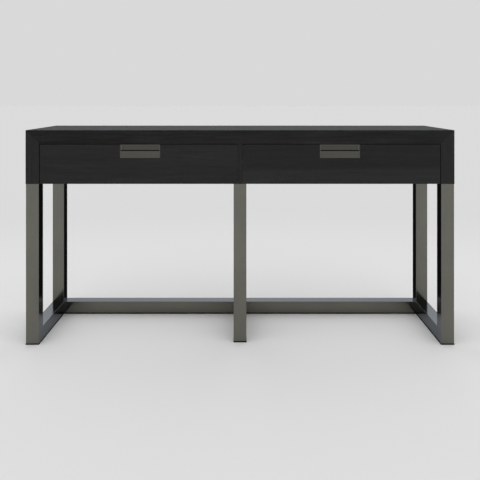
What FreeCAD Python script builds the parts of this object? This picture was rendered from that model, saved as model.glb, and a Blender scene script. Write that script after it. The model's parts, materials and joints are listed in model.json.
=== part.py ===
import FreeCAD, Part
import Sketcher
import os
import re

# Writing desk with two drawers: a mitred timber case on three square-tube sled frames.
# Millimetres. +Z is up, the front faces -Y, and the origin is on the floor under the middle of the case.

SIZES = (
    ("desk_width", 1498, "overall width of the case"),
    ("desk_depth", 340, "overall depth of the case"),
    ("desk_height", 750, "floor to the top surface"),
    ("case_height", 188, "height of the timber case"),
    ("slab", 48, "thickness of the top and of the two sides"),
    ("spline_thickness", 4, "loose tongue in each mitre"),
    ("spline_width", 24, "across the mitre"),
    ("spline_stop", 20, "solid timber left at each end of the tongue's slot"),
    ("bottom_thickness", 18, "bottom panel of the case"),
    ("back_thickness", 18, "back panel of the case"),
    ("stile_width", 14, "upright between the drawers"),
    ("timber_easing", 0.5, "rounding of the timber's edges"),
    ("tube", 45, "outer size of the square tube"),
    ("tube_wall", 2, "wall of the square tube"),
    ("tube_corner", 1, "outer corner radius of the square tube"),
    ("frame_inset_x", 0.6, "case side to the frame's outer face"),
    ("frame_inset_y", 2, "case front or back to the frame's face"),
    ("centre_setback", 20, "centre front leg behind the outer front legs"),
    ("sole_thickness", 4, "rubber strip under the frames"),
    ("sole_margin", 0.8, "strip's edge outside the tube"),
    ("plate_thickness", 4, "plate that closes the top of a leg"),
    ("plate_width", 44, "across the leg"),
    ("plate_length", 110, "front to back"),
    ("plate_inset", 1, "plate's end inside the leg's outer face"),
    ("bolt_radius", 3, "leg bolt's shank"),
    ("bolt_length", 14, "leg bolt's shank"),
    ("bolt_head_radius", 5.5, "leg bolt's head"),
    ("bolt_head_height", 3, "leg bolt's head"),
    ("bolt_edge", 18, "leg's face to the first bolt"),
    ("bolt_pitch", 30, "first bolt to the second"),
    ("insert_radius", 4.5, "threaded insert in the timber"),
    ("insert_tip", 1, "hole beyond the insert"),
    ("front_thickness", 22, "drawer front"),
    ("front_gap", 2, "round a drawer front, at its top and outer end"),
    ("stile_gap", 0.6, "between a drawer front and the upright"),
    ("front_lift", 0.3, "drawer front's lower edge above the case's underside"),
    ("behind_front", 1, "drawer front to the bottom panel when shut"),
    ("box_rear_gap", 30, "drawer box to the back panel"),
    ("box_lift", 6, "drawer box above the bottom panel"),
    ("box_headroom", 24, "drawer box to the underside of the top"),
    ("box_wall", 12, "sides, front and back of the drawer box"),
    ("box_bottom", 6, "bottom of the drawer box"),
    ("groove_depth", 6, "groove that holds the box's bottom"),
    ("groove_rise", 10, "groove above the box's lower edge"),
    ("slide_thickness", 12.7, "drawer slide, between the case and the box"),
    ("slide_height", 45, "drawer slide"),
    ("slide_setback", 6, "front of the box to the front of the slide"),
    ("slide_short", 20, "slide shorter than the box"),
    ("slide_steel", 1.2, "sheet that the slide's rails are folded from"),
    ("ball_race", 3.3, "room for the balls between two rails"),
    ("case_flange", 10.2, "case rail's flanges, from the case"),
    ("middle_web_at", 3, "back of the middle rail, from the case"),
    ("middle_flange", 8.9, "middle rail's flanges, from the case"),
    ("box_flange", 5.7, "box rail's flanges, from the case"),
    ("pull_centre", 349, "middle of the desk to the middle of a pull"),
    ("pull_width", 140, "recessed pull"),
    ("pull_height", 47.2, "recessed pull"),
    ("pull_wall", 2.5, "rim, lip, floor and ends of the pull"),
    ("pull_back", 2, "back wall of the pull"),
    ("lip_height", 24.4, "lip that the fingers hook behind"),
    ("pull_easing", 0.5, "rounding of the pull's front edges"),
    ("pull_screw_reach", 45, "middle of the pull to its screws"),
    ("screw_radius", 2, "wood screw's shank"),
    ("screw_head_radius", 4, "wood screw's head"),
    ("screw_head_height", 2.5, "wood screw's head"),
    ("front_screw_bite", 10, "screw's length inside the drawer front"),
    ("front_screw_inset", 75, "end of the box to its front screws"),
    ("front_screw_edge", 20, "edge of the box to its front screws"),
    ("slide_screw_radius", 1.8, "slide screw's shank"),
    ("slide_screw_head", 3.4, "radius of the slide screw's flat head"),
    ("slide_screw_flat", 1.2, "thickness of the slide screw's flat head"),
    ("slide_screw_bite", 6, "screw's length inside the timber"),
    ("slide_screw_inset", 35, "end of the slide to its screw"),
)

# Places that several pieces share, worked out from the sizes above.
CASE_BOTTOM = "(desk_height - case_height)"
SLAB_UNDER = "(desk_height - slab)"
INNER_X = "(desk_width / 2 - slab)"
FRONT_Y = "(-desk_depth / 2)"
BACK_Y = "(desk_depth / 2)"
BOTTOM_TOP = f"({CASE_BOTTOM} + bottom_thickness)"
CARCASE_FRONT_Y = f"({FRONT_Y} + front_thickness + behind_front)"
BACK_PANEL_Y = f"({BACK_Y} - back_thickness)"
LEG_X = "(desk_width / 2 - frame_inset_x - tube / 2)"
LEG_Y = "(desk_depth / 2 - frame_inset_y - tube / 2)"
CENTRE_LEG_Y = f"({LEG_Y} - centre_setback)"

# A drawer is drawn about the middle of its opening, which is DRAWER_X from the middle of the desk.
DRAWER_X = f"(({INNER_X} + stile_width / 2) / 2)"
OPENING_HALF = f"(({INNER_X} - stile_width / 2) / 2)"
BOX_HALF = f"({OPENING_HALF} - slide_thickness)"
BOX_INNER = f"({BOX_HALF} - box_wall)"
BOX_FRONT_Y = f"({FRONT_Y} + front_thickness)"
BOX_REAR_Y = f"({BACK_PANEL_Y} - box_rear_gap)"
BOX_LOW = f"({BOTTOM_TOP} + box_lift)"
BOX_TOP = f"({SLAB_UNDER} - box_headroom)"
GROOVE_LOW = f"({BOX_LOW} + groove_rise)"
GROOVE_TOP = f"({GROOVE_LOW} + box_bottom)"
SLIDE_FRONT_Y = f"({BOX_FRONT_Y} + slide_setback)"
SLIDE_REAR_Y = f"({SLIDE_FRONT_Y} + {BOX_REAR_Y} - {BOX_FRONT_Y} - slide_short)"
SLIDE_Z = f"(({BOX_LOW} + {BOX_TOP}) / 2)"
FRONT_TOP = f"({SLAB_UNDER} - front_gap)"
FRONT_LOW = f"({CASE_BOTTOM} + front_lift)"
PULL_LOW = f"({FRONT_TOP} - pull_height)"
LIP_TOP = f"({PULL_LOW} + lip_height)"

SIDES = (("left", "-1"), ("right", "1"))

doc = FreeCAD.newDocument("WritingDesk")
sheet = doc.addObject("Spreadsheet::Sheet", "Sizes")
for row, (alias, value, note) in enumerate(SIZES, start=1):
    sheet.set(f"A{row}", note)
    sheet.set(f"B{row}", str(value))
    sheet.setAlias(f"B{row}", alias)
doc.recompute()

ALIASES = re.compile(r"\b(" + "|".join(alias for alias, _, _ in SIZES) + r")\b")
pieces = []


def bound(expression):
    """The expression with each size's name pointing at its cell in the sheet."""
    return ALIASES.sub(r"Sizes.\1", expression)


def new_piece(label, x="0"):
    """An empty body, moved along X, that becomes one named piece of the desk."""
    body = doc.addObject("PartDesign::Body", label)
    body.Label = label
    body.setExpression(".Placement.Base.x", bound(x))
    pieces.append(body)
    return body


def new_sketch(body, plane, offset="0"):
    """A sketch on one of the body's own origin planes, moved along that plane's normal."""
    sketch = body.newObject("Sketcher::SketchObject", f"{body.Label}_sketch")
    support = [f for f in body.Origin.OriginFeatures if f.Role == plane][0]
    sketch.AttachmentSupport = [(support, "")]
    sketch.MapMode = "FlatFace"
    sketch.setExpression(".AttachmentOffset.Base.z", bound(offset))
    return sketch


def fix(sketch, kind, index, point, expression):
    """Hold one point of the sketch at a distance from the sketch's origin."""
    constraint = sketch.addConstraint(Sketcher.Constraint(kind, -1, 1, index, point, 1.0))
    sketch.setExpression(f"Constraints[{constraint}]", bound(expression))


def outline(sketch, corners):
    """A closed outline of straight lines through corners given as pairs of expressions."""
    values = [[sheet.evalExpression(bound(part)) for part in corner] for corner in corners]
    first = sketch.GeometryCount
    count = len(corners)
    for number in range(count):
        start = FreeCAD.Vector(*values[number], 0)
        end = FreeCAD.Vector(*values[(number + 1) % count], 0)
        sketch.addGeometry(Part.LineSegment(start, end), False)
    for number in range(count):
        line = first + number
        following = first + (number + 1) % count
        sketch.addConstraint(Sketcher.Constraint("Coincident", line, 2, following, 1))
    for number, (across, up) in enumerate(corners):
        fix(sketch, "DistanceX", first + number, 1, across)
        fix(sketch, "DistanceY", first + number, 1, up)


def rectangle(sketch, low, high):
    """A rectangle between two opposite corners."""
    outline(sketch, ((low[0], low[1]), (high[0], low[1]), (high[0], high[1]), (low[0], high[1])))


def circles(sketch, centres, radius):
    """Equal circles at centres given as pairs of expressions."""
    size = sheet.evalExpression(bound(radius))
    for across, up in centres:
        place = FreeCAD.Vector(*(sheet.evalExpression(bound(part)) for part in (across, up)), 0)
        index = sketch.addGeometry(Part.Circle(place, FreeCAD.Vector(0, 0, 1), size), False)
        fix(sketch, "DistanceX", index, 3, across)
        fix(sketch, "DistanceY", index, 3, up)
        constraint = sketch.addConstraint(Sketcher.Constraint("Radius", index, size))
        sketch.setExpression(f"Constraints[{constraint}]", bound(radius))


def extrude(kind, body, sketch, length, symmetric=False, reverse=False):
    """A pad or a pocket of the given length."""
    feature = body.newObject(f"PartDesign::{kind}", f"{body.Label}_{kind.lower()}")
    feature.Profile = sketch
    feature.setExpression("Length", bound(length))
    feature.SideType = "Symmetric" if symmetric else "One side"
    feature.Reversed = reverse
    sketch.Visibility = False
    return feature


def board(label, low, high, x="0"):
    """A plain rectangular piece between two opposite corners."""
    body = new_piece(label, x)
    sketch = new_sketch(body, "XY_Plane", low[2])
    rectangle(sketch, low[:2], high[:2])
    extrude("Pad", body, sketch, f"({high[2]}) - ({low[2]})")
    return body


def cut_box(body, low, high):
    """Take the space between two opposite corners out of the body."""
    sketch = new_sketch(body, "XY_Plane", high[2])
    rectangle(sketch, low[:2], high[:2])
    extrude("Pocket", body, sketch, f"({high[2]}) - ({low[2]})")


def drill(body, plane, start, centres, radius, depth, reverse=False):
    """Equal blind holes from a plane, against that plane's normal unless reversed."""
    sketch = new_sketch(body, plane, start)
    circles(sketch, centres, radius)
    extrude("Pocket", body, sketch, depth, reverse=reverse)


def turned(body, plane, start, centres, radius, length, reverse=False, bore=None):
    """Equal round stubs from a plane, along that plane's normal unless reversed."""
    sketch = new_sketch(body, plane, start)
    circles(sketch, centres, radius)
    if bore:
        circles(sketch, centres, bore)
    extrude("Pad", body, sketch, length, reverse=reverse)


def ease(body, radius, wanted):
    """Round the edges of the body that the test picks."""
    doc.recompute()
    base = body.Tip
    edges = [f"Edge{n}" for n, edge in enumerate(base.Shape.Edges, start=1) if wanted(edge)]
    fillet = body.newObject("PartDesign::Fillet", f"{body.Label}_easing")
    fillet.Base = (base, edges)
    fillet.setExpression("Radius", bound(radius))


def runs_along(edge, axis):
    """Whether a straight edge is parallel to the axis, 0 for X, 1 for Y and 2 for Z."""
    start, end = (vertex.Point for vertex in edge.Vertexes)
    return abs((end - start).normalize()[axis]) > 0.999


def any_edge(edge):
    return True


# --- Timber case -------------------------------------------------------------------------------------

def spline_section(side):
    """Corners of the tongue's section, set square across the middle of the mitre."""
    middle_x = f"{side} * (desk_width / 2 - slab / 2)"
    middle_z = "desk_height - slab / 2"
    corners = []
    for along, across in ((1, 1), (1, -1), (-1, -1), (-1, 1)):
        reach = f"({along} * spline_thickness + {across} * spline_width) / (2 * sqrt(2))"
        rise = f"({along} * spline_thickness - {across} * spline_width) / (2 * sqrt(2))"
        corners.append((f"{middle_x} + {side} * {reach}", f"{middle_z} + {rise}"))
    return corners


def cut_spline_slots(body, signs):
    for side in signs:
        sketch = new_sketch(body, "XZ_Plane")
        outline(sketch, spline_section(side))
        extrude("Pocket", body, sketch, "desk_depth - 2 * spline_stop", symmetric=True)


def leg_places():
    """Each leg: its frame's name, its end, its x, its y and the way to the desk's middle."""
    frames = (("left", f"-1 * {LEG_X}"), ("centre", "0"), ("right", LEG_X))
    for frame, x in frames:
        front_y = CENTRE_LEG_Y if frame == "centre" else LEG_Y
        yield frame, "front", x, f"-1 * {front_y}", "1"
        yield frame, "back", x, LEG_Y, "-1"


def bolt_places(x, y, inward):
    first = f"{y} + {inward} * (tube / 2 + bolt_edge)"
    return [(x, first), (x, f"{first} + {inward} * bolt_pitch")]


def plate_corners(x, y, inward):
    near = f"{y} - {inward} * (tube / 2 - plate_inset)"
    far = f"{near} + {inward} * plate_length"
    return (f"{x} - plate_width / 2", near), (f"{x} + plate_width / 2", far)


def seat_legs(body, frame_name):
    """Let the leg plates into the timber and drill it for their threaded inserts."""
    plate_top = f"{CASE_BOTTOM} + plate_thickness"
    for frame, _, x, y, inward in leg_places():
        if frame == frame_name:
            near, far = plate_corners(x, y, inward)
            cut_box(body, (*near, CASE_BOTTOM), (*far, plate_top))
            drill(body, "XY_Plane", plate_top, bolt_places(x, y, inward), "insert_radius",
                  "bolt_length - plate_thickness + insert_tip", reverse=True)


def slide_screw_places():
    return [
        (f"{SLIDE_FRONT_Y} + slide_screw_inset", SLIDE_Z),
        (f"{SLIDE_REAR_Y} - slide_screw_inset", SLIDE_Z),
    ]


def top_panel():
    body = new_piece("top_panel")
    sketch = new_sketch(body, "XZ_Plane")
    outline(sketch, (
        (f"-1 * {INNER_X}", SLAB_UNDER),
        (INNER_X, SLAB_UNDER),
        ("desk_width / 2", "desk_height"),
        ("-desk_width / 2", "desk_height"),
    ))
    extrude("Pad", body, sketch, "desk_depth", symmetric=True)
    ease(body, "timber_easing", lambda edge: runs_along(edge, 0))
    cut_spline_slots(body, ("-1", "1"))


def side_panel(name, side):
    body = new_piece(f"{name}_side_panel")
    sketch = new_sketch(body, "XZ_Plane")
    outline(sketch, (
        (f"{side} * {INNER_X}", CASE_BOTTOM),
        (f"{side} * desk_width / 2", CASE_BOTTOM),
        (f"{side} * desk_width / 2", "desk_height"),
        (f"{side} * {INNER_X}", SLAB_UNDER),
    ))
    extrude("Pad", body, sketch, "desk_depth", symmetric=True)
    lowest = sheet.evalExpression(bound(f"{CASE_BOTTOM} + slab / 2"))
    ease(body, "timber_easing", lambda edge: edge.CenterOfMass.z < lowest or runs_along(edge, 2))
    cut_spline_slots(body, (side,))
    seat_legs(body, name)
    drill(body, "YZ_Plane", f"{side} * {INNER_X}", slide_screw_places(), "slide_screw_radius",
          "slide_screw_bite", reverse=side == "1")


def case():
    top_panel()
    for name, side in SIDES:
        side_panel(name, side)
    bottom = board("bottom_panel", (f"-1 * {INNER_X}", CARCASE_FRONT_Y, CASE_BOTTOM),
                   (INNER_X, BACK_Y, BOTTOM_TOP))
    seat_legs(bottom, "centre")
    board("back_panel", (f"-1 * {INNER_X}", BACK_PANEL_Y, BOTTOM_TOP), (INNER_X, BACK_Y, SLAB_UNDER))
    divider = board("centre_divider", ("-stile_width / 2", CARCASE_FRONT_Y, BOTTOM_TOP),
                    ("stile_width / 2", BACK_PANEL_Y, SLAB_UNDER))
    for _, side in SIDES:
        drill(divider, "YZ_Plane", f"{side} * stile_width / 2", slide_screw_places(), "slide_screw_radius",
              "slide_screw_bite", reverse=side == "-1")
    stile = board("centre_stile", ("-stile_width / 2", FRONT_Y, CASE_BOTTOM),
                  ("stile_width / 2", CARCASE_FRONT_Y, SLAB_UNDER))
    ease(stile, "timber_easing / 2", lambda edge: runs_along(edge, 2))
    splines = new_piece("mitre_splines")
    for _, side in SIDES:
        sketch = new_sketch(splines, "XZ_Plane")
        outline(sketch, spline_section(side))
        extrude("Pad", splines, sketch, "desk_depth - 2 * spline_stop", symmetric=True)


# --- Metal frames ------------------------------------------------------------------------------------

def tube_between(label, plane, middle, start, end):
    """A square tube along the plane's normal, round a middle point, between two places on that normal."""
    body = new_piece(label)
    sketch = new_sketch(body, plane, start)
    half = "tube / 2"
    rectangle(sketch, [f"{part} - {half}" for part in middle], [f"{part} + {half}" for part in middle])
    extrude("Pad", body, sketch, f"({end}) - ({start})")
    axis = {"YZ_Plane": 0, "XZ_Plane": 1, "XY_Plane": 2}[plane]
    ease(body, "tube_corner", lambda edge: runs_along(edge, axis))
    bore = new_sketch(body, plane, start)
    hollow = "(tube / 2 - tube_wall)"
    rectangle(bore, [f"{part} - {hollow}" for part in middle], [f"{part} + {hollow}" for part in middle])
    extrude("Pocket", body, bore, f"({end}) - ({start})", reverse=True)
    return body


def frames():
    floor_z = "(sole_thickness + tube / 2)"
    for frame, end, x, y, _ in leg_places():
        tube_between(f"{frame}_{end}_leg", "XY_Plane", (x, y), "sole_thickness", CASE_BOTTOM)
    for frame, x in (("left", f"-1 * {LEG_X}"), ("centre", "0"), ("right", LEG_X)):
        front_y = CENTRE_LEG_Y if frame == "centre" else LEG_Y
        # The plane's normal points to the front, so the rail runs from its back end to its front end.
        tube_between(f"{frame}_floor_rail", "XZ_Plane", (x, floor_z), f"-1 * ({LEG_Y} - tube / 2)",
                     f"{front_y} - tube / 2")
    for name, start, end in (
        ("left", f"-1 * {LEG_X} + tube / 2", "-tube / 2"),
        ("right", "tube / 2", f"{LEG_X} - tube / 2"),
    ):
        tube_between(f"{name}_back_rail", "YZ_Plane", (LEG_Y, floor_z), start, end)


def soles():
    """Rubber strips glued under the frames."""
    reach = "(tube / 2 + sole_margin)"
    for frame, x in (("left", f"-1 * {LEG_X}"), ("centre", "0"), ("right", LEG_X)):
        front_y = CENTRE_LEG_Y if frame == "centre" else LEG_Y
        board(f"{frame}_sole_strip", (f"{x} - {reach}", f"-1 * {front_y} - {reach}", "0"),
              (f"{x} + {reach}", f"{LEG_Y} + {reach}", "sole_thickness"))
    for name, side in SIDES:
        board(f"{name}_back_sole_strip", (f"{side} * {reach}", f"{LEG_Y} - {reach}", "0"),
              (f"{side} * ({LEG_X} - {reach})", f"{LEG_Y} + {reach}", "sole_thickness"))


def leg_fixings():
    """Plates on the legs' tops, and the bolts and threaded inserts that hold them to the case."""
    plate_top = f"({CASE_BOTTOM} + plate_thickness)"
    centres = []
    plates = {}
    for frame, _, x, y, inward in leg_places():
        if frame not in plates:
            plates[frame] = new_piece(f"{frame}_leg_plates")
        near, far = plate_corners(x, y, inward)
        sketch = new_sketch(plates[frame], "XY_Plane", CASE_BOTTOM)
        rectangle(sketch, near, far)
        circles(sketch, bolt_places(x, y, inward), "bolt_radius")
        extrude("Pad", plates[frame], sketch, "plate_thickness")
        centres += bolt_places(x, y, inward)
    bolts = new_piece("leg_bolts")
    turned(bolts, "XY_Plane", CASE_BOTTOM, centres, "bolt_radius", "bolt_length")
    turned(bolts, "XY_Plane", CASE_BOTTOM, centres, "bolt_head_radius", "bolt_head_height", reverse=True)
    inserts = new_piece("leg_inserts")
    turned(inserts, "XY_Plane", plate_top, centres, "insert_radius", "bolt_length - plate_thickness",
           bore="bolt_radius")


# --- Drawers -----------------------------------------------------------------------------------------

def pull_x(side):
    """Middle of the pull, seen from the middle of the drawer's opening."""
    return f"({side} * (pull_centre - {DRAWER_X}))"


def pull_screw_places(side):
    height = f"{PULL_LOW} + lip_height / 2"
    return [(f"{pull_x(side)} + {sign} * pull_screw_reach", height) for sign in (-1, 1)]


def front_screw_places():
    reach = f"({BOX_HALF} - front_screw_inset)"
    heights = (f"{BOX_LOW} + front_screw_edge", f"{BOX_TOP} - front_screw_edge")
    return [(f"{sign} * {reach}", height) for sign in (-1, 1) for height in heights]


def drawer_front(name, side, x):
    outer = f"{side} * ({OPENING_HALF} - front_gap)"
    inner = f"-1 * {side} * ({OPENING_HALF} - stile_gap)"
    body = board(f"{name}_drawer_front", (inner, FRONT_Y, FRONT_LOW), (outer, BOX_FRONT_Y, FRONT_TOP), x)
    ease(body, "timber_easing", any_edge)
    half = "pull_width / 2"
    cut_box(body, (f"{pull_x(side)} - {half}", FRONT_Y, PULL_LOW),
            (f"{pull_x(side)} + {half}", BOX_FRONT_Y, FRONT_TOP))
    drill(body, "XZ_Plane", f"-1 * {BOX_FRONT_Y}", front_screw_places(), "screw_radius",
          "front_screw_bite", reverse=True)


def pull(name, side, x):
    """A rimmed metal pocket: the lip covers its lower half, and fingers go in above the lip."""
    body = new_piece(f"{name}_pull", x)
    half = "pull_width / 2"
    block = new_sketch(body, "XY_Plane", PULL_LOW)
    rectangle(block, (f"{pull_x(side)} - {half}", FRONT_Y), (f"{pull_x(side)} + {half}", BOX_FRONT_Y))
    extrude("Pad", body, block, "pull_height")
    front_y = sheet.evalExpression(bound(FRONT_Y))
    ease(body, "pull_easing", lambda edge: abs(edge.CenterOfMass.y - front_y) < 0.01)
    section = new_sketch(body, "YZ_Plane", pull_x(side))
    lip_back = f"{FRONT_Y} + pull_wall"
    back = f"{BOX_FRONT_Y} - pull_back"
    outline(section, (
        (FRONT_Y, LIP_TOP),
        (lip_back, LIP_TOP),
        (lip_back, f"{PULL_LOW} + pull_wall"),
        (back, f"{PULL_LOW} + pull_wall"),
        (back, f"{FRONT_TOP} - pull_wall"),
        (FRONT_Y, f"{FRONT_TOP} - pull_wall"),
    ))
    extrude("Pocket", body, section, "pull_width - 2 * pull_wall", symmetric=True)
    drill(body, "XZ_Plane", f"-1 * {BOX_FRONT_Y}", pull_screw_places(side), "screw_radius", "pull_back",
          reverse=True)


def drawer_screws(name, side, x):
    """The screws that hold the front, the pull and the slides to the drawer box."""
    screws = new_piece(f"{name}_drawer_screws", x)
    seat = f"{BOX_FRONT_Y} + box_wall"
    places = front_screw_places()
    turned(screws, "XZ_Plane", f"-1 * ({seat})", places, "screw_radius", "box_wall + front_screw_bite")
    turned(screws, "XZ_Plane", f"-1 * ({seat})", pull_screw_places(side), "screw_radius",
           "box_wall + pull_back")
    turned(screws, "XZ_Plane", f"-1 * ({seat})", places + pull_screw_places(side), "screw_head_radius",
           "screw_head_height", reverse=True)
    for hand in ("-1", "1"):
        web = f"{hand} * ({BOX_HALF} + slide_steel)"
        turned(screws, "YZ_Plane", web, slide_screw_places(), "slide_screw_radius",
               "slide_steel + slide_screw_bite", reverse=hand == "1")
        turned(screws, "YZ_Plane", web, slide_screw_places(), "slide_screw_head", "slide_screw_flat",
               reverse=hand == "-1")


def drawer_box(name, side, x):
    """Grooved sides and front; the bottom slides in from behind, under the box's back."""
    box_front = board(f"{name}_drawer_box_front", (f"-1 * {BOX_INNER}", BOX_FRONT_Y, BOX_LOW),
                      (BOX_INNER, f"{BOX_FRONT_Y} + box_wall", BOX_TOP), x)
    groove_y = f"({BOX_FRONT_Y} + box_wall - groove_depth)"
    cut_box(box_front, (f"-1 * {BOX_INNER}", groove_y, GROOVE_LOW),
            (BOX_INNER, f"{BOX_FRONT_Y} + box_wall", GROOVE_TOP))
    for places in (front_screw_places(), pull_screw_places(side)):
        drill(box_front, "XZ_Plane", f"-1 * {BOX_FRONT_Y}", places, "screw_radius", "box_wall")
    for hand_name, hand in SIDES:
        wall = board(f"{name}_drawer_{hand_name}_side", (f"{hand} * {BOX_HALF}", BOX_FRONT_Y, BOX_LOW),
                     (f"{hand} * {BOX_INNER}", BOX_REAR_Y, BOX_TOP), x)
        cut_box(wall, (f"{hand} * ({BOX_INNER} + groove_depth)", BOX_FRONT_Y, GROOVE_LOW),
                (f"{hand} * {BOX_INNER}", BOX_REAR_Y, GROOVE_TOP))
        drill(wall, "YZ_Plane", f"{hand} * {BOX_HALF}", slide_screw_places(), "slide_screw_radius",
              "slide_screw_bite", reverse=hand == "-1")
    board(f"{name}_drawer_back", (f"-1 * {BOX_INNER}", f"{BOX_REAR_Y} - box_wall", GROOVE_TOP),
          (BOX_INNER, BOX_REAR_Y, BOX_TOP), x)
    reach = f"({BOX_INNER} + groove_depth)"
    board(f"{name}_drawer_bottom", (f"-1 * {reach}", groove_y, GROOVE_LOW),
          (reach, BOX_REAR_Y, GROOVE_TOP), x)


# --- Drawer slides -----------------------------------------------------------------------------------

def channel(label, x, hand, web, sheet_side, flange, half_height):
    """A rail folded to a C. Distances run from the case towards the drawer box."""
    body = new_piece(label, x)

    def at(distance):
        return f"{hand} * ({OPENING_HALF} - ({distance}))"

    inside = f"{web} + {sheet_side} * slide_steel"
    upper = f"{SLIDE_Z} + {half_height}"
    lower = f"{SLIDE_Z} - {half_height}"
    section = new_sketch(body, "XZ_Plane", f"-1 * {SLIDE_FRONT_Y}")
    outline(section, (
        (at(web), lower),
        (at(flange), lower),
        (at(flange), f"{lower} + slide_steel"),
        (at(inside), f"{lower} + slide_steel"),
        (at(inside), f"{upper} - slide_steel"),
        (at(flange), f"{upper} - slide_steel"),
        (at(flange), upper),
        (at(web), upper),
    ))
    extrude("Pad", body, section, f"{SLIDE_REAR_Y} - {SLIDE_FRONT_Y}", reverse=True)
    return body, at(web)


def slides(name, x):
    """Two telescopic slides: each has a rail on the case, a middle rail and a rail on the drawer."""
    outer_half = "slide_height / 2"
    middle_half = f"({outer_half} - slide_steel - ball_race)"
    inner_half = f"({middle_half} - slide_steel - ball_race)"
    for hand_name, hand in SIDES:
        label = f"{name}_drawer_{hand_name}_slide"
        case_rail, face = channel(f"{label}_case_rail", x, hand, "0", "1", "case_flange", outer_half)
        drill(case_rail, "YZ_Plane", face, slide_screw_places(), "slide_screw_radius", "slide_steel",
              reverse=hand == "-1")
        channel(f"{label}_middle_rail", x, hand, "middle_web_at", "1", "middle_flange", middle_half)
        box_rail, face = channel(f"{label}_box_rail", x, hand, "slide_thickness", "-1", "box_flange",
                                 inner_half)
        drill(box_rail, "YZ_Plane", face, slide_screw_places(), "slide_screw_radius", "slide_steel",
              reverse=hand == "1")


def case_slide_screws():
    """Flat-headed screws that hold the case rails of all four slides."""
    screws = new_piece("case_slide_screws")
    for _, side in SIDES:
        for face, inward in ((INNER_X, "-1"), ("(stile_width / 2)", "1")):
            web = f"{side} * ({face} + {inward} * slide_steel)"
            into_desk = side != inward
            turned(screws, "YZ_Plane", web, slide_screw_places(), "slide_screw_radius",
                   "slide_steel + slide_screw_bite", reverse=not into_desk)
            turned(screws, "YZ_Plane", web, slide_screw_places(), "slide_screw_head", "slide_screw_flat",
                   reverse=into_desk)


def drawers():
    for name, side in SIDES:
        x = f"{side} * {DRAWER_X}"
        drawer_front(name, side, x)
        pull(name, side, x)
        drawer_box(name, side, x)
        drawer_screws(name, side, x)
        slides(name, x)
    case_slide_screws()


# --- Checks and export -------------------------------------------------------------------------------

def check_document():
    """Stop if a feature failed, a piece has no sound solid or a pocket took nothing away."""
    for item in doc.Objects:
        if "Invalid" in item.State or "Error" in item.State:
            raise RuntimeError(f"{item.Label}: {item.State}")
        if item.TypeId == "PartDesign::Pocket":
            before = item.BaseFeature.Shape.Volume
            if item.Shape.Volume > before - 1e-3:
                raise RuntimeError(f"{item.Label} cuts nothing")
    for piece in pieces:
        if piece.Shape.isNull() or not piece.Shape.isValid() or not piece.Shape.Solids:
            raise RuntimeError(f"{piece.Label} has no sound solid")


def export_pieces():
    os.makedirs("parts", exist_ok=True)
    for piece in pieces:
        piece.Shape.exportStep(os.path.join("parts", f"{piece.Label}.step"))
        box = piece.Shape.BoundBox
        print(f"{piece.Label:38} {len(piece.Shape.Solids):3} solids  x {box.XMin:8.1f} {box.XMax:8.1f}"
              f"  y {box.YMin:8.1f} {box.YMax:8.1f}  z {box.ZMin:7.1f} {box.ZMax:7.1f}")
    print(len(pieces), "pieces")


case()
frames()
soles()
leg_fixings()
drawers()
doc.recompute()
check_document()
export_pieces()
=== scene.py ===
import json
import math

import bmesh
import bpy
from mathutils import Matrix, Vector


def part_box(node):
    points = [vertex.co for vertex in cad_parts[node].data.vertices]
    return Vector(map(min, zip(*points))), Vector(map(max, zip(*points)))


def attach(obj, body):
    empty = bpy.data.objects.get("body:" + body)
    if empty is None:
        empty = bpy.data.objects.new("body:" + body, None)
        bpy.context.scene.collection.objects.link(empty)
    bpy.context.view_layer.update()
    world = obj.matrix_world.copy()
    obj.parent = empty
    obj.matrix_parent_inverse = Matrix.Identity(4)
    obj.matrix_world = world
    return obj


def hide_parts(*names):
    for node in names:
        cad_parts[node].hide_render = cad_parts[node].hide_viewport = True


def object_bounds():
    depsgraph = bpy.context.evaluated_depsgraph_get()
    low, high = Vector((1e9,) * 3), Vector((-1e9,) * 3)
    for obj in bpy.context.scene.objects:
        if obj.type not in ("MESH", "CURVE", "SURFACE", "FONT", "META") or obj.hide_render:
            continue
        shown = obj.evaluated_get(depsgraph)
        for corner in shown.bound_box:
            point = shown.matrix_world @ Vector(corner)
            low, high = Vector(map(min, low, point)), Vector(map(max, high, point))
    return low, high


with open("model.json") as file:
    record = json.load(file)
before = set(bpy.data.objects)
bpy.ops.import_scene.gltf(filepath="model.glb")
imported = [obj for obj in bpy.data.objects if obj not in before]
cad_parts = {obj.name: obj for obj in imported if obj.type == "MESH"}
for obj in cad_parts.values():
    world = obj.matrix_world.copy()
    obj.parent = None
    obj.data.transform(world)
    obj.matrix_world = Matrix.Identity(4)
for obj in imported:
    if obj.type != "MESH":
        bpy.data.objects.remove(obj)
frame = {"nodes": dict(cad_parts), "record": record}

# Looks for a long writing desk: charcoal-stained oak case, dark bronze frames and pulls.
# Metres. +Z is up and the front faces -Y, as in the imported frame.

cad_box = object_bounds()
NODES = frame["nodes"]
SLOT_OF = {part["node"]: part["material_slot"] for part in frame["record"]["subparts"]}


# --- Shader writing ------------------------------------------------------------------------------

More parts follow.
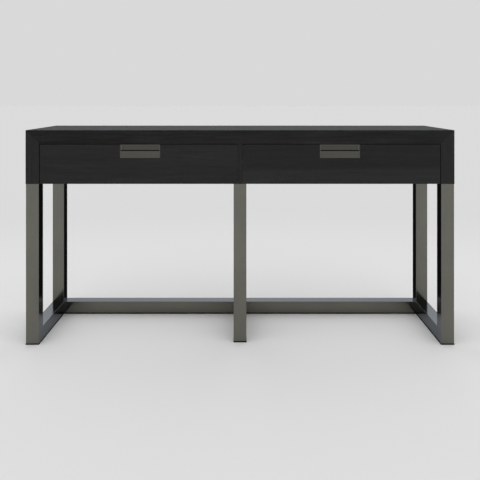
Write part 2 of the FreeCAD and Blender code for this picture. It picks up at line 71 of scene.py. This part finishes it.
class Wire:
    """A number travelling between nodes: sums and products of wires add Math nodes."""

    def __init__(self, finish, socket):
        self.finish = finish
        self.socket = socket

    def _math(self, operation, *terms):
        return self.finish.node("ShaderNodeMath", {"operation": operation}, dict(enumerate(terms)))

    def __add__(self, other):
        return self._math("ADD", self, other)

    __radd__ = __add__

    def __sub__(self, other):
        return self._math("SUBTRACT", self, other)

    def __rsub__(self, other):
        return self._math("SUBTRACT", other, self)

    def __mul__(self, other):
        return self._math("MULTIPLY", self, other)

    __rmul__ = __mul__

    def __neg__(self):
        return self * -1

    def __abs__(self):
        return self._math("ABSOLUTE", self)

    def larger(self, other):
        """The larger of this and another number."""
        return self._math("MAXIMUM", self, other)

    def step(self, low, high):
        """0 below low, 1 above high, smooth between."""
        settings = {"interpolation_type": "SMOOTHSTEP"}
        inputs = {0: self, 1: low, 2: high, 3: 0.0, 4: 1.0}
        return self.finish.node("ShaderNodeMapRange", settings, inputs)


class Finish:
    """The node tree of one material or of the world."""

    def __init__(self, tree):
        self.tree = tree
        tree.nodes.clear()

    def node(self, kind, settings=None, inputs=None, output=0):
        """Add a node: its settings first, then its sockets' values or links. Returns one output."""
        made = self.tree.nodes.new(kind)
        for name, setting in (settings or {}).items():
            if name == "stops":
                fill_ramp(made.color_ramp, setting)
            else:
                setattr(made, name, setting)
        for name, value in (inputs or {}).items():
            if isinstance(value, Wire):
                self.tree.links.new(value.socket, made.inputs[name])
            else:
                made.inputs[name].default_value = value
        return Wire(self, made.outputs[output]) if made.outputs else made

    def vector(self, operation, *terms, output=0):
        inputs = dict(enumerate(terms))
        return self.node("ShaderNodeVectorMath", {"operation": operation}, inputs, output)

    def split(self, vector):
        made = self.node("ShaderNodeSeparateXYZ", None, {0: vector})
        return [Wire(self, socket) for socket in made.socket.node.outputs]

    def join(self, x, y, z):
        return self.node("ShaderNodeCombineXYZ", None, {0: x, 1: y, 2: z})

    def mix(self, factor, first, second):
        """Blend of two colours."""
        inputs = {0: factor, 6: first, 7: second}
        return self.node("ShaderNodeMix", {"data_type": "RGBA"}, inputs, 2)

    def scaled(self, vector, strength):
        """A colour or vector made larger or smaller by a number."""
        return self.node("ShaderNodeVectorMath", {"operation": "SCALE"}, {0: vector, 3: strength})

    def ramp(self, place, stops):
        """A colour that goes through the stops as the place goes from 0 to 1."""
        return self.node("ShaderNodeValToRGB", {"stops": stops}, {0: place})

    def noise(self, vector, detail, roughness=0.5):
        """Clouds from 0 to 1. The vector holds their scale, which can differ along the grain."""
        inputs = {"Vector": vector, "Scale": 1.0, "Detail": detail, "Roughness": roughness}
        return self.node("ShaderNodeTexNoise", None, inputs)

    def bump(self, height, strength, distance):
        inputs = {"Height": height, "Strength": strength, "Distance": distance}
        return self.node("ShaderNodeBump", None, inputs)

    def edges(self, radius):
        """1 at the piece's edges and 0 on its faces."""
        rounded = self.node("ShaderNodeBevel", {"samples": 4}, {"Radius": radius})
        flat = self.node("ShaderNodeNewGeometry", output="Normal")
        return (1 - self.vector("DOT_PRODUCT", rounded, flat, output="Value")).step(0.01, 0.28)


def fill_ramp(ramp, stops):
    while len(ramp.elements) < len(stops):
        ramp.elements.new(0.5)
    for element, (place, colour) in zip(ramp.elements, stops):
        element.position = place
        element.color = colour


def new_material(name):
    material = bpy.data.materials.new(name)
    material.use_nodes = True
    return material, Finish(material.node_tree)


def surface(finish, uniform, varying):
    """The Principled shader, with its plain values and the wires that vary over the piece."""
    shader = finish.node("ShaderNodeBsdfPrincipled", None, {**uniform, **varying})
    finish.node("ShaderNodeOutputMaterial", None, {"Surface": shader})


def grey(value):
    return (value, value, value, 1)


# --- Timber --------------------------------------------------------------------------------------

TIMBER_EDGE = 0.0012
STAINED = (
    (0.30, (0.0048, 0.0047, 0.0047, 1)),
    (0.45, (0.0088, 0.0087, 0.0086, 1)),
    (0.57, (0.0124, 0.0124, 0.0124, 1)),
    (0.76, (0.0235, 0.0238, 0.0240, 1)),
)
STAIN_IN_PORES = (0.0035, 0.0035, 0.0035, 1)
WORN_STAIN = (0.085, 0.070, 0.055, 1)
BIRCH = (
    (0.25, (0.300, 0.185, 0.095, 1)),
    (0.48, (0.445, 0.300, 0.170, 1)),
    (0.75, (0.560, 0.410, 0.260, 1)),
)
BIRCH_IN_PORES = (0.22, 0.13, 0.07, 1)
WORN_BIRCH = (0.62, 0.47, 0.31, 1)

# How softly a band of growth ends, and how far it wanders up and down.
BAND_BLUR = 0.005
BAND_DRIFT = 0.012
BAND_FRAY = 0.006


def along_grain(finish, axis, seed):
    """Object coordinates with the first one along the grain, shifted for each board."""
    place = finish.node("ShaderNodeTexCoord", output="Object")
    x, y, z = finish.split(place)
    order = {"X": (x, y, z), "Y": (y, z, x), "Z": (z, x, y)}[axis]
    shift = (seed * 1.37, seed * 0.71, seed * 2.13)
    return [part + step for part, step in zip(order, shift)]


def open_grain(finish, run, across, up, figure):
    """Growth lines, fine fibre and open pores of oak, each from 0 to 1."""
    sway = finish.noise(finish.join(run * 1.3, across * 6, up * 6), 2.0) - 0.5
    bend = sway * figure
    rings = finish.noise(finish.join(run * 2.2, across * 55 + bend, up * 55 + bend), 4.0, 0.6)
    fibre = finish.noise(finish.join(run * 9, across * 240, up * 240), 3.0, 0.65)
    dashes = finish.noise(finish.join(run * 38, across * 1300, up * 1300), 1.0, 0.5)
    early_wood = rings.step(0.40, 0.62)
    pores = dashes.step(0.60, 0.70) * (0.35 + 0.65 * early_wood)
    return rings, fibre, pores


def banded(finish, colour, drift, bands):
    """The colour, tinted in bands that cross a drawer front at a height and a slope."""
    x, _, z = finish.split(finish.node("ShaderNodeTexCoord", output="Object"))
    for band in bands:
        level = abs(z + drift - x * band["slope"] - band["height"])
        inside = 1 - level.step(band["half"] - BAND_BLUR, band["half"] + BAND_BLUR)
        colour = finish.vector("MULTIPLY", colour, finish.mix(inside, grey(1), band["tint"]))
    return colour


def stained_oak(name, axis, seed, tone=1.0, shine=0.22, bands=()):
    """Charcoal-stained oak under a satin lacquer. Bands are paler or darker growth in a board."""
    material, finish = new_material(name)
    run, across, up = along_grain(finish, axis, seed)
    rings, fibre, pores = open_grain(finish, run, across, up, 5.0)
    cloud = finish.noise(finish.join(run * 1.1, across * 9, up * 9), 3.0, 0.5)
    depth = 0.34 * rings + 0.42 * fibre + 0.24 * cloud
    colour = finish.scaled(finish.ramp(depth, STAINED), tone)
    if bands:
        sway = finish.noise(finish.join(run * 1.6, across * 3, up * 3), 2.0) - 0.5
        colour = banded(finish, colour, sway * BAND_DRIFT + fibre * BAND_FRAY, bands)
    colour = finish.mix(pores * 0.75, colour, STAIN_IN_PORES)
    patches = finish.noise(finish.join(run * 30, across * 60, up * 60), 3.0).step(0.42, 0.62)
    rub = finish.edges(TIMBER_EDGE) * patches
    colour = finish.mix(rub * 0.30, colour, WORN_STAIN)
    surface(finish, {"Specular IOR Level": shine}, {
        "Base Color": colour,
        "Roughness": 0.40 + 0.10 * fibre + 0.16 * pores - 0.06 * rub,
        "Normal": finish.bump(0.55 * fibre + 0.30 * rings - 0.9 * pores, 0.22, 0.0006),
    })
    return material


def pale_birch(name, axis, seed):
    """Clear-lacquered birch for the drawer boxes."""
    material, finish = new_material(name)
    run, across, up = along_grain(finish, axis, seed)
    rings, fibre, pores = open_grain(finish, run, across, up, 7.0)
    depth = 0.6 * rings + 0.4 * fibre
    colour = finish.mix(pores * 0.25, finish.ramp(depth, BIRCH), BIRCH_IN_PORES)
    surface(finish, {"Specular IOR Level": 0.45}, {
        "Base Color": finish.mix(finish.edges(TIMBER_EDGE) * 0.25, colour, WORN_BIRCH),
        "Roughness": 0.42 + 0.12 * fibre,
        "Normal": finish.bump(depth - 0.5 * pores, 0.15, 0.0004),
    })
    return material


# --- Metal and rubber ----------------------------------------------------------------------------

METAL_EDGE = 0.0014
MOTTLED = (
    (0.30, (0.94, 0.93, 0.83, 1)),
    (0.50, (1.00, 0.985, 0.855, 1)),
    (0.72, (1.07, 1.04, 0.875, 1)),
)
BRONZE_SPECK = (0.6, 0.55, 0.48)
# Edge colour: part real rub-through wear, part painted highlight along the edges.
BRONZE_RUB_AND_HIGHLIGHT = (2.3, 2.1, 1.75)
# Painted highlight for the end walls of a pull's recess.
END_WALL_PAINTED_HIGHLIGHT = (0.52, 0.50, 0.46, 1)

# The pulls: from the desk's middle, half the width of the mouth, and the front of the recess.
PULL_CENTRE = 0.349
MOUTH_END = 0.0665
MOUTH_FACE = -0.1693


def bronze(name, axis, seed, shade, roughness, pull=False):
    """Blackened bronze: a soft mottle, fine lines from brushing, and edges painted brighter, partly
    real rub-through wear and partly a painted highlight.

    A pull has painted shade inside its recess, and a painted highlight on the recess's end walls.
    """
    material, finish = new_material(name)
    run, across, up = along_grain(finish, axis, seed)
    mottle = finish.noise(finish.join(run * 7, across * 18, up * 18), 4.0, 0.6)
    brushed = finish.noise(finish.join(run * 14, across * 1700, up * 1700), 2.0, 0.7)
    specks = finish.noise(finish.join(run * 260, across * 260, up * 260), 2.0).step(0.66, 0.76)
    colour = finish.scaled(finish.ramp(mottle, MOTTLED), shade * (0.96 + 0.08 * brushed))
    colour = finish.mix(specks * 0.22, colour, (*(shade * part for part in BRONZE_SPECK), 1))
    patches = finish.noise(finish.join(run * 45, across * 45, up * 45), 3.0).step(0.4, 0.6)
    # Painted highlight mixed with real wear: the edges are painted brighter bronze, in patches.
    rub = finish.edges(METAL_EDGE) * (0.35 + 0.65 * patches)
    colour = finish.mix(rub * 0.45, colour, (*(shade * part for part in BRONZE_RUB_AND_HIGHLIGHT), 1))
    if pull:
        x, y, _ = finish.split(finish.node("ShaderNodeTexCoord", output="Object"))
        recess = y.step(MOUTH_FACE - 0.0003, MOUTH_FACE + 0.0003)
        ends = abs(abs(x) - PULL_CENTRE).step(MOUTH_END - 0.0005, MOUTH_END + 0.0005) * recess
        # Painted shade: everything behind the mouth's front is painted 19% darker.
        colour = finish.scaled(colour, 1 - 0.19 * recess)
        # Painted highlight: the recess's end walls are painted pale bronze.
        colour = finish.mix(ends * (0.75 + 0.25 * mottle), colour, END_WALL_PAINTED_HIGHLIGHT)
    surface(finish, {"Metallic": 1.0, "Specular Tint": (0.69, 0.72, 0.81, 1)}, {
        "Base Color": colour,
        "Roughness": roughness + 0.07 * (mottle - 0.5) + 0.05 * (brushed - 0.5) + 0.08 * specks,
        "Normal": finish.bump(brushed * 0.8 + mottle * 0.2, 0.06, 0.0002),
    })
    return material


def plated_steel(name, seed, colour, roughness):
    """Zinc-plated sheet and screws: faint crystals and lines from rolling."""
    material, finish = new_material(name)
    run, across, up = along_grain(finish, "Y", seed)
    crystals = finish.node("ShaderNodeTexVoronoi", None, {
        "Vector": finish.join(run * 120, across * 160, up * 160), "Scale": 1.0}, "Distance")
    rolled = finish.noise(finish.join(run * 10, across * 900, up * 900), 2.0)
    shade = 0.82 + 0.20 * crystals + 0.14 * (rolled - 0.5)
    tint = finish.scaled(finish.mix(crystals, (*colour, 1), grey(sum(colour) / 3)), shade)
    surface(finish, {"Metallic": 1.0}, {
        "Base Color": tint,
        "Roughness": roughness + 0.10 * rolled,
        "Normal": finish.bump(rolled, 0.05, 0.0002),
    })
    return material


def black_rubber(name):
    material, finish = new_material(name)
    run, across, up = along_grain(finish, "Y", 0.3)
    grit = finish.noise(finish.join(run * 700, across * 700, up * 700), 2.0)
    dust = finish.noise(finish.join(run * 25, across * 60, up * 60), 3.0).step(0.5, 0.75)
    colour = finish.mix(dust * 0.25, grey(0.0015), grey(0.008))
    surface(finish, {"Specular IOR Level": 0.06}, {
        "Base Color": colour,
        "Roughness": 0.72 + 0.16 * grit,
        "Normal": finish.bump(grit, 0.25, 0.0003),
    })
    return material


# --- Dressing the CAD nodes ----------------------------------------------------------------------

def dress(node, material):
    mesh = NODES[node].data
    mesh.materials.clear()
    mesh.materials.append(material)
    for face in mesh.polygons:
        face.material_index = 0


BOARDS = {
    "top_panel": dict(axis="X", seed=1.0, tone=1.36, shine=0.072),
    "left_side_panel": dict(axis="Z", seed=2.0, tone=1.24),
    "right_side_panel": dict(axis="Z", seed=3.1, tone=1.26),
    "bottom_panel": dict(axis="X", seed=4.0),
    "back_panel": dict(axis="X", seed=5.0),
    "centre_divider": dict(axis="Y", seed=6.0),
    "centre_stile": dict(axis="Z", seed=7.0, tone=1.16),
    "left_drawer_front": dict(axis="X", seed=8.0, tone=1.06),
    "right_drawer_front": dict(axis="X", seed=9.4, bands=(
        dict(height=0.575, half=0.033, slope=0.020, tint=(1.38, 1.46, 1.40, 1)),
        dict(height=0.632, half=0.011, slope=0.006, tint=(0.92, 0.86, 0.88, 1)),
    )),
}

for node, looks in BOARDS.items():
    dress(node, stained_oak(f"{node}_oak", **looks))

TUBE_SHADE = 0.160
# The rear rails are painted slightly darker than the other tubes: painted shade for the shadow of
# the case above them.
REAR_RAIL_PAINTED_SHADE = 0.154
TUBE_ROUGHNESS = 0.15
PULL_SHADE = 0.094
PULL_ROUGHNESS = 0.10

birch_long = pale_birch("birch_along_the_front", "X", 1.0)
birch_deep = pale_birch("birch_front_to_back", "Y", 2.0)
tube_upright = bronze("bronze_upright", "Z", 1.0, TUBE_SHADE, TUBE_ROUGHNESS)
tube_deep = bronze("bronze_front_to_back", "Y", 2.0, TUBE_SHADE, TUBE_ROUGHNESS)
tube_long_painted_shade = bronze("bronze_along_the_back_painted_shade", "X", 3.0, REAR_RAIL_PAINTED_SHADE, TUBE_ROUGHNESS)
pull_metal = bronze("bronze_pull", "X", 4.0, PULL_SHADE, PULL_ROUGHNESS, pull=True)
slide_metal = plated_steel("zinc_slide", 1.0, (0.80, 0.81, 0.83), 0.42)
screw_metal = plated_steel("zinc_screw", 2.0, (0.50, 0.50, 0.51), 0.34)

# Slots whose pieces all share one material, whichever way they lie.
SHARED = {
    "pull_bronze": pull_metal,
    "slide_steel": slide_metal,
    "fixing_steel": screw_metal,
    "insert_brass": plated_steel("turned_brass", 3.0, (0.72, 0.52, 0.24), 0.24),
    "sole_rubber": black_rubber("sole_rubber"),
}

for node, slot in SLOT_OF.items():
    if slot == "drawer_box_wood":
        deep = node.endswith("_side") or node == "mitre_splines"
        dress(node, birch_deep if deep else birch_long)
    elif slot == "frame_bronze" and node.endswith("_leg"):
        dress(node, tube_upright)
    elif slot == "frame_bronze":
        dress(node, tube_long_painted_shade if node.endswith("_back_rail") else tube_deep)
    elif slot in SHARED:
        dress(node, SHARED[slot])


# --- Bolts and balls that the CAD keeps plain ----------------------------------------------------

def new_piece(name, build, material, body):
    """A piece of the desk made from a bmesh that the build function fills."""
    mesh = bpy.data.meshes.new(name)
    shape = bmesh.new()
    build(shape)
    bmesh.ops.recalc_face_normals(shape, faces=shape.faces)
    shape.to_mesh(mesh)
    shape.free()
    mesh.materials.append(material)
    piece = bpy.data.objects.new(name, mesh)
    bpy.context.scene.collection.objects.link(piece)
    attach(piece, body)
    return piece


def ring(shape, centre, radius, z, sides):
    """A level ring of points about a place."""
    x, y = centre
    angles = [2 * math.pi * step / sides for step in range(sides)]
    return [shape.verts.new((x + radius * math.cos(angle), y + radius * math.sin(angle), z))
            for angle in angles]


def skin(shape, rings, smooth=True):
    """Faces between one ring and the next."""
    for low, high in zip(rings, rings[1:]):
        for n in range(len(low)):
            face = shape.faces.new((low[n], low[n - 1], high[n - 1], high[n]))
            face.smooth = smooth


# Leg bolts: radii, heights and the socket's reach from its middle to a flat.
BOLT_SIDES = 48
BOLT_SHANK = 0.0030
BOLT_HEAD = 0.0030
SOCKET = 0.0023
SOCKET_DEPTH = 0.0019
# The head's rings from its seat down: radius, and how far below the seat.
BOLT_DOME = (
    (0.0055, 0.0),
    (0.0055, 0.0011),
    (0.0050, 0.0021),
    (0.0041, 0.0027),
    (0.0032, BOLT_HEAD),
)


def hexagon_reach(angle):
    """From the socket's middle to its wall, in a direction."""
    return SOCKET / math.cos(angle % (math.pi / 3) - math.pi / 6)


def leg_bolt(shape, x, y, seat, shank_top):
    """A low domed bolt, head down, with a hexagonal socket in its head."""
    profile = [(BOLT_SHANK, shank_top), (BOLT_SHANK, seat)]
    profile += [(radius, seat - drop) for radius, drop in BOLT_DOME]
    turned = [ring(shape, (x, y), radius, z, BOLT_SIDES) for radius, z in profile]
    shape.faces.new(turned[0])
    skin(shape, turned)
    angles = [2 * math.pi * n / BOLT_SIDES for n in range(BOLT_SIDES)]
    head = seat - BOLT_HEAD
    walls = []
    for z in (head, head + SOCKET_DEPTH):
        walls.append([shape.verts.new((x + hexagon_reach(angle) * math.cos(angle),
                                       y + hexagon_reach(angle) * math.sin(angle), z))
                      for angle in angles])
    skin(shape, [turned[-1], walls[0]], smooth=False)
    skin(shape, walls, smooth=False)
    shape.faces.new(walls[1])


def islands(node):
    """The boxes of a node's separate solids, as (low corner, high corner)."""
    shape = bmesh.new()
    shape.from_mesh(NODES[node].data)
    shape.transform(NODES[node].matrix_world)
    bmesh.ops.remove_doubles(shape, verts=shape.verts, dist=1e-6)
    waiting = set(shape.verts)
    found = []
    while waiting:
        fresh = [waiting.pop()]
        members = list(fresh)
        while fresh:
            vert = fresh.pop()
            near = {link.other_vert(vert) for link in vert.link_edges} & waiting
            waiting -= near
            fresh.extend(near)
            members.extend(near)
        low = Vector([min(vert.co[axis] for vert in members) for axis in range(3)])
        high = Vector([max(vert.co[axis] for vert in members) for axis in range(3)])
        found.append((low, high))
    shape.free()
    return sorted(found, key=lambda box: tuple(box[0]))


def leg_bolts(shape):
    for low, high in islands("leg_bolts"):
        middle = (low + high) / 2
        leg_bolt(shape, middle.x, middle.y, low.z + BOLT_HEAD, high.z)


bolts = new_piece("hex_socket_bolts", leg_bolts, screw_metal, "desk")
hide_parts("leg_bolts")

BALL = 0.0016
BALL_SIDES = 16
BALL_BANDS = 9
BALL_PITCH = 0.0105
CAGE_WIDTH = 0.0022
CAGE_THICKNESS = 0.0006
CAGE_BEYOND = 0.0030
# Outer and inner races: distance from the case and from the slide's middle height, and the places in
# depth between which the balls sit.
RACES = (
    (0.0062, 0.01965, -0.012, 0.102),
    (0.0073, 0.01515, -0.138, -0.024),
)


def ball(shape, x, y, z):
    rings = []
    for step in range(1, BALL_BANDS):
        angle = math.pi * step / BALL_BANDS
        level = z - BALL * math.cos(angle)
        rings.append(ring(shape, (x, y), BALL * math.sin(angle), level, BALL_SIDES))
    skin(shape, rings)
    shape.faces.new(rings[0])
    shape.faces.new(rings[-1])


def ball_race(shape, x, z, first, last):
    """A row of balls through a thin strip."""
    steps = int((last - first) / BALL_PITCH)
    length = steps * BALL_PITCH
    for n in range(steps + 1):
        ball(shape, x, first + n * BALL_PITCH, z)
    size = Matrix.Diagonal((CAGE_WIDTH, length + 2 * CAGE_BEYOND, CAGE_THICKNESS, 1.0))
    place = Matrix.Translation((x, first + length / 2, z))
    bmesh.ops.create_cube(shape, size=1.0, matrix=place @ size)


def ball_races(side):
    """Steel balls in thin cages, between the slides' rails. They travel with the middle rails."""
    def build(shape):
        for hand in ("left", "right"):
            low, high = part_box(f"{side}_drawer_{hand}_slide_case_rail")
            face, inward = (low.x, 1) if hand == "left" else (high.x, -1)
            middle = (low.z + high.z) / 2
            for distance, rise, first, last in RACES:
                for z in (middle - rise, middle + rise):
                    ball_race(shape, face + inward * distance, z, first, last)
    return build


for side in ("left", "right"):
    middles = f"{side}_slide_middles"
    new_piece(f"{side}_ball_cages", ball_races(side), slide_metal, middles)


# --- Floor, light and camera ---------------------------------------------------------------------

FLOOR_REACH = 60.0
NEAR_FLOOR = ((-1.1, -1.0), (1.1, 0.17))
# The floor is painted lighter near the desk, a painted pool of light that weakens its contact
# shadow, fading to the floor's own colour between these distances.
NEAR_FLOOR_PAINTED_LIGHT = 0.83
FAR_SHADE = 0.712
PAINTED_LIGHT_FADES = (0.1, 2.4)

# The studio's brightness: the plain backdrop, the soft light of the dome, and what shows in gloss.
BACKDROP = 0.694
DOME_AT_HORIZON = 1.92
DOME_LOSS_OVERHEAD = 1.38
GLOSS_DARK = 0.012
GLOSS_FRONT = 0.20
GLOSS_FRONT_BELOW = 0.60
GLOSS_BEHIND = 1.36
GLOSS_ASIDE = 0.45


def flat_mesh(name, corners, faces):
    mesh = bpy.data.meshes.new(name)
    mesh.from_pydata([(x, y, 0.0) for x, y in corners], [], faces)
    piece = bpy.data.objects.new(name, mesh)
    bpy.context.scene.collection.objects.link(piece)
    return piece


def pale_floor():
    """A pale floor, painted lighter near the desk: a painted pool of light that weakens the desk's
    contact shadow. Only the part near the desk shows in the metal.
    """
    material, finish = new_material("pale_floor")
    x, y, _ = finish.split(finish.node("ShaderNodeTexCoord", output="Object"))
    from_desk = finish.vector("LENGTH", finish.join(x * 0.6, y, 0.0), output="Value")
    # Painted light: lighter near the desk, fading to the plain floor colour further out.
    shade = finish.mix(from_desk.step(*PAINTED_LIGHT_FADES), grey(NEAR_FLOOR_PAINTED_LIGHT), grey(FAR_SHADE))
    surface(finish, {"Roughness": 0.9, "Specular IOR Level": 0.0}, {"Base Color": shade})
    (left, front), (right, back) = NEAR_FLOOR
    inner = [(left, front), (right, front), (right, back), (left, back)]
    outer = [(x * FLOOR_REACH, y * FLOOR_REACH) for x, y in ((-1, -1), (1, -1), (1, 1), (-1, 1))]
    near = flat_mesh("floor_near", inner, [(0, 1, 2, 3)])
    sides = [(n, (n + 1) % 4, 4 + (n + 1) % 4, 4 + n) for n in range(4)]
    far = flat_mesh("floor_far", outer + inner, sides)
    far.visible_glossy = False
    for piece in (near, far):
        piece.data.materials.append(material)


def studio_world():
    """A white studio: a soft dome, and for gloss a bright front, top and sides, dark low behind."""
    world = bpy.data.worlds.new("studio")
    world.use_nodes = True
    bpy.context.scene.world = world
    finish = Finish(world.node_tree)
    ray = finish.node("ShaderNodeLightPath")
    outputs = {socket.name: Wire(finish, socket) for socket in ray.socket.node.outputs}
    camera_ray = outputs["Is Camera Ray"]
    glossy_ray = outputs["Is Glossy Ray"]
    x, y, z = finish.split(finish.node("ShaderNodeTexCoord", output="Generated"))
    ahead = (-y).step(-0.05, 0.45)
    below = 1 - z.step(-0.02, 0.06)
    behind = y.step(-0.2, 0.2) * z.step(0.25, 0.335)
    overhead = z.step(0.45, 0.70)
    aside = abs(x).step(0.42, 0.65)
    in_front = ahead * (GLOSS_FRONT + GLOSS_FRONT_BELOW * below)
    back_and_top = (behind * GLOSS_BEHIND).larger(overhead)
    gloss = GLOSS_DARK + in_front.larger(back_and_top).larger(aside * GLOSS_ASIDE)
    dome = DOME_AT_HORIZON - DOME_LOSS_OVERHEAD * z.larger(0.0)
    tint = finish.mix(glossy_ray * behind, grey(1.0), (0.97, 1.0, 1.03, 1))
    lit = glossy_ray * gloss + (1 - glossy_ray) * dome
    value = camera_ray * BACKDROP + (1 - camera_ray) * lit
    background = finish.node("ShaderNodeBackground", None, {"Color": tint, "Strength": value})
    finish.node("ShaderNodeOutputWorld", None, {"Surface": background})


CAMERA_HEIGHT = 0.862
CAMERA_DISTANCE = 2.027
LENS = 43.545
SHIFT_DOWN = -0.29563


def camera():
    """A level camera in front of the middle of the desk, with its picture shifted down."""
    data = bpy.data.cameras.new("camera")
    data.lens = LENS
    data.sensor_width = 36.0
    data.shift_y = SHIFT_DOWN
    data.clip_end = 200.0
    piece = bpy.data.objects.new("camera", data)
    piece.location = (0.0, cad_box[0][1] - CAMERA_DISTANCE, CAMERA_HEIGHT)
    piece.rotation_euler = (math.pi / 2, 0.0, 0.0)
    bpy.context.scene.collection.objects.link(piece)
    bpy.context.scene.camera = piece


bpy.context.scene.view_settings.view_transform = "Standard"
pale_floor()
studio_world()
camera()
